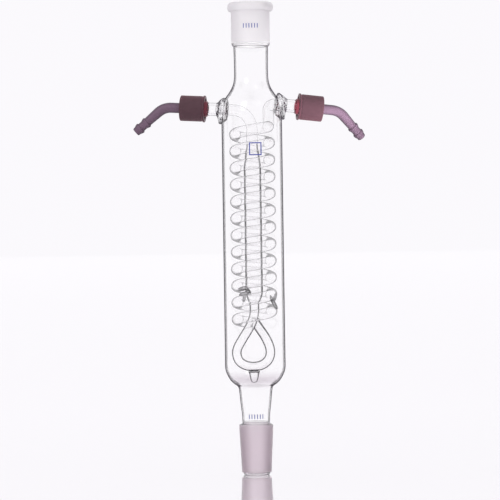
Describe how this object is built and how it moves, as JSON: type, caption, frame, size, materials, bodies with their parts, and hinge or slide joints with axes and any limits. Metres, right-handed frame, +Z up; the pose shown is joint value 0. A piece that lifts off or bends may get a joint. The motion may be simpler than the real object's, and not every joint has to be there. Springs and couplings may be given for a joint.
{
  "type": "coil reflux condenser",
  "caption": "Glass coil reflux condenser with ground socket and cone joints, an inner cooling coil and screw-cap hose barbs on both side arms.",
  "frame": {"origin": "centre of the lower end of the cone joint", "axes": "+Z up the condenser's axis, +X towards the right side arm, -Y towards the side that the arms lean away from"},
  "size_m": [0.1667, 0.0432, 0.337],
  "materials": {
    "clear_glass": "clear borosilicate glass",
    "ground_glass": "ground, frosted",
    "cap_plastic": "dark red-brown moulded plastic, satin",
    "barb_plastic": "translucent mauve-grey moulded plastic",
    "ring_silicone": "off-white silicone"
  },
  "bodies": {
    "glass": {"socket_joint": "ground_glass", "upper_neck": "clear_glass", "jacket": "clear_glass", "lower_neck": "clear_glass", "cone_joint": "ground_glass", "coil": "clear_glass", "feed_tube": "clear_glass", "centre_tube": "clear_glass", "lower_loop": "clear_glass", "drip_tip": "clear_glass", "left_brace": "clear_glass", "right_brace": "clear_glass", "left_ring_seal": "clear_glass", "right_ring_seal": "clear_glass", "left_side_arm": "clear_glass", "right_side_arm": "clear_glass"},
    "left_ring": {"left_sealing_ring": "ring_silicone"},
    "left_cap": {"left_screw_cap": "cap_plastic"},
    "left_barb": {"left_hose_barb": "barb_plastic"},
    "right_ring": {"right_sealing_ring": "ring_silicone"},
    "right_cap": {"right_screw_cap": "cap_plastic"},
    "right_barb": {"right_hose_barb": "barb_plastic"}
  },
  "joints": [
    {"name": "left_fitting_slide", "type": "slide", "parent": "glass", "child": "left_ring", "axis": [-0.9909, 0.1217, 0.0576], "range_m": [0, 0.01]},
    {"name": "left_cap_turn", "type": "hinge", "parent": "left_ring", "child": "left_cap", "pos_m": [-0.04583, 0.00563, 0.26263], "axis": [-0.9909, 0.1217, 0.0576], "range_deg": [0, 1440]},
    {"name": "left_barb_swivel", "type": "hinge", "parent": "left_ring", "child": "left_barb", "pos_m": [-0.04583, 0.00563, 0.26263], "axis": [-0.9909, 0.1217, 0.0576], "continuous": true},
    {"name": "right_fitting_slide", "type": "slide", "parent": "glass", "child": "right_ring", "axis": [0.9866, 0.1211, -0.1097], "range_m": [0, 0.01]},
    {"name": "right_cap_turn", "type": "hinge", "parent": "right_ring", "child": "right_cap", "pos_m": [0.04576, 0.00562, 0.26122], "axis": [0.9866, 0.1211, -0.1097], "range_deg": [0, 1440]},
    {"name": "right_barb_swivel", "type": "hinge", "parent": "right_ring", "child": "right_barb", "pos_m": [0.04576, 0.00562, 0.26122], "axis": [0.9866, 0.1211, -0.1097], "continuous": true}
  ],
  "couplings": [
    {"joint": "left_fitting_slide", "follows": "left_cap_turn", "m_per_rad": 0.00039789},
    {"joint": "right_fitting_slide", "follows": "right_cap_turn", "m_per_rad": 0.00039789}
  ]
}
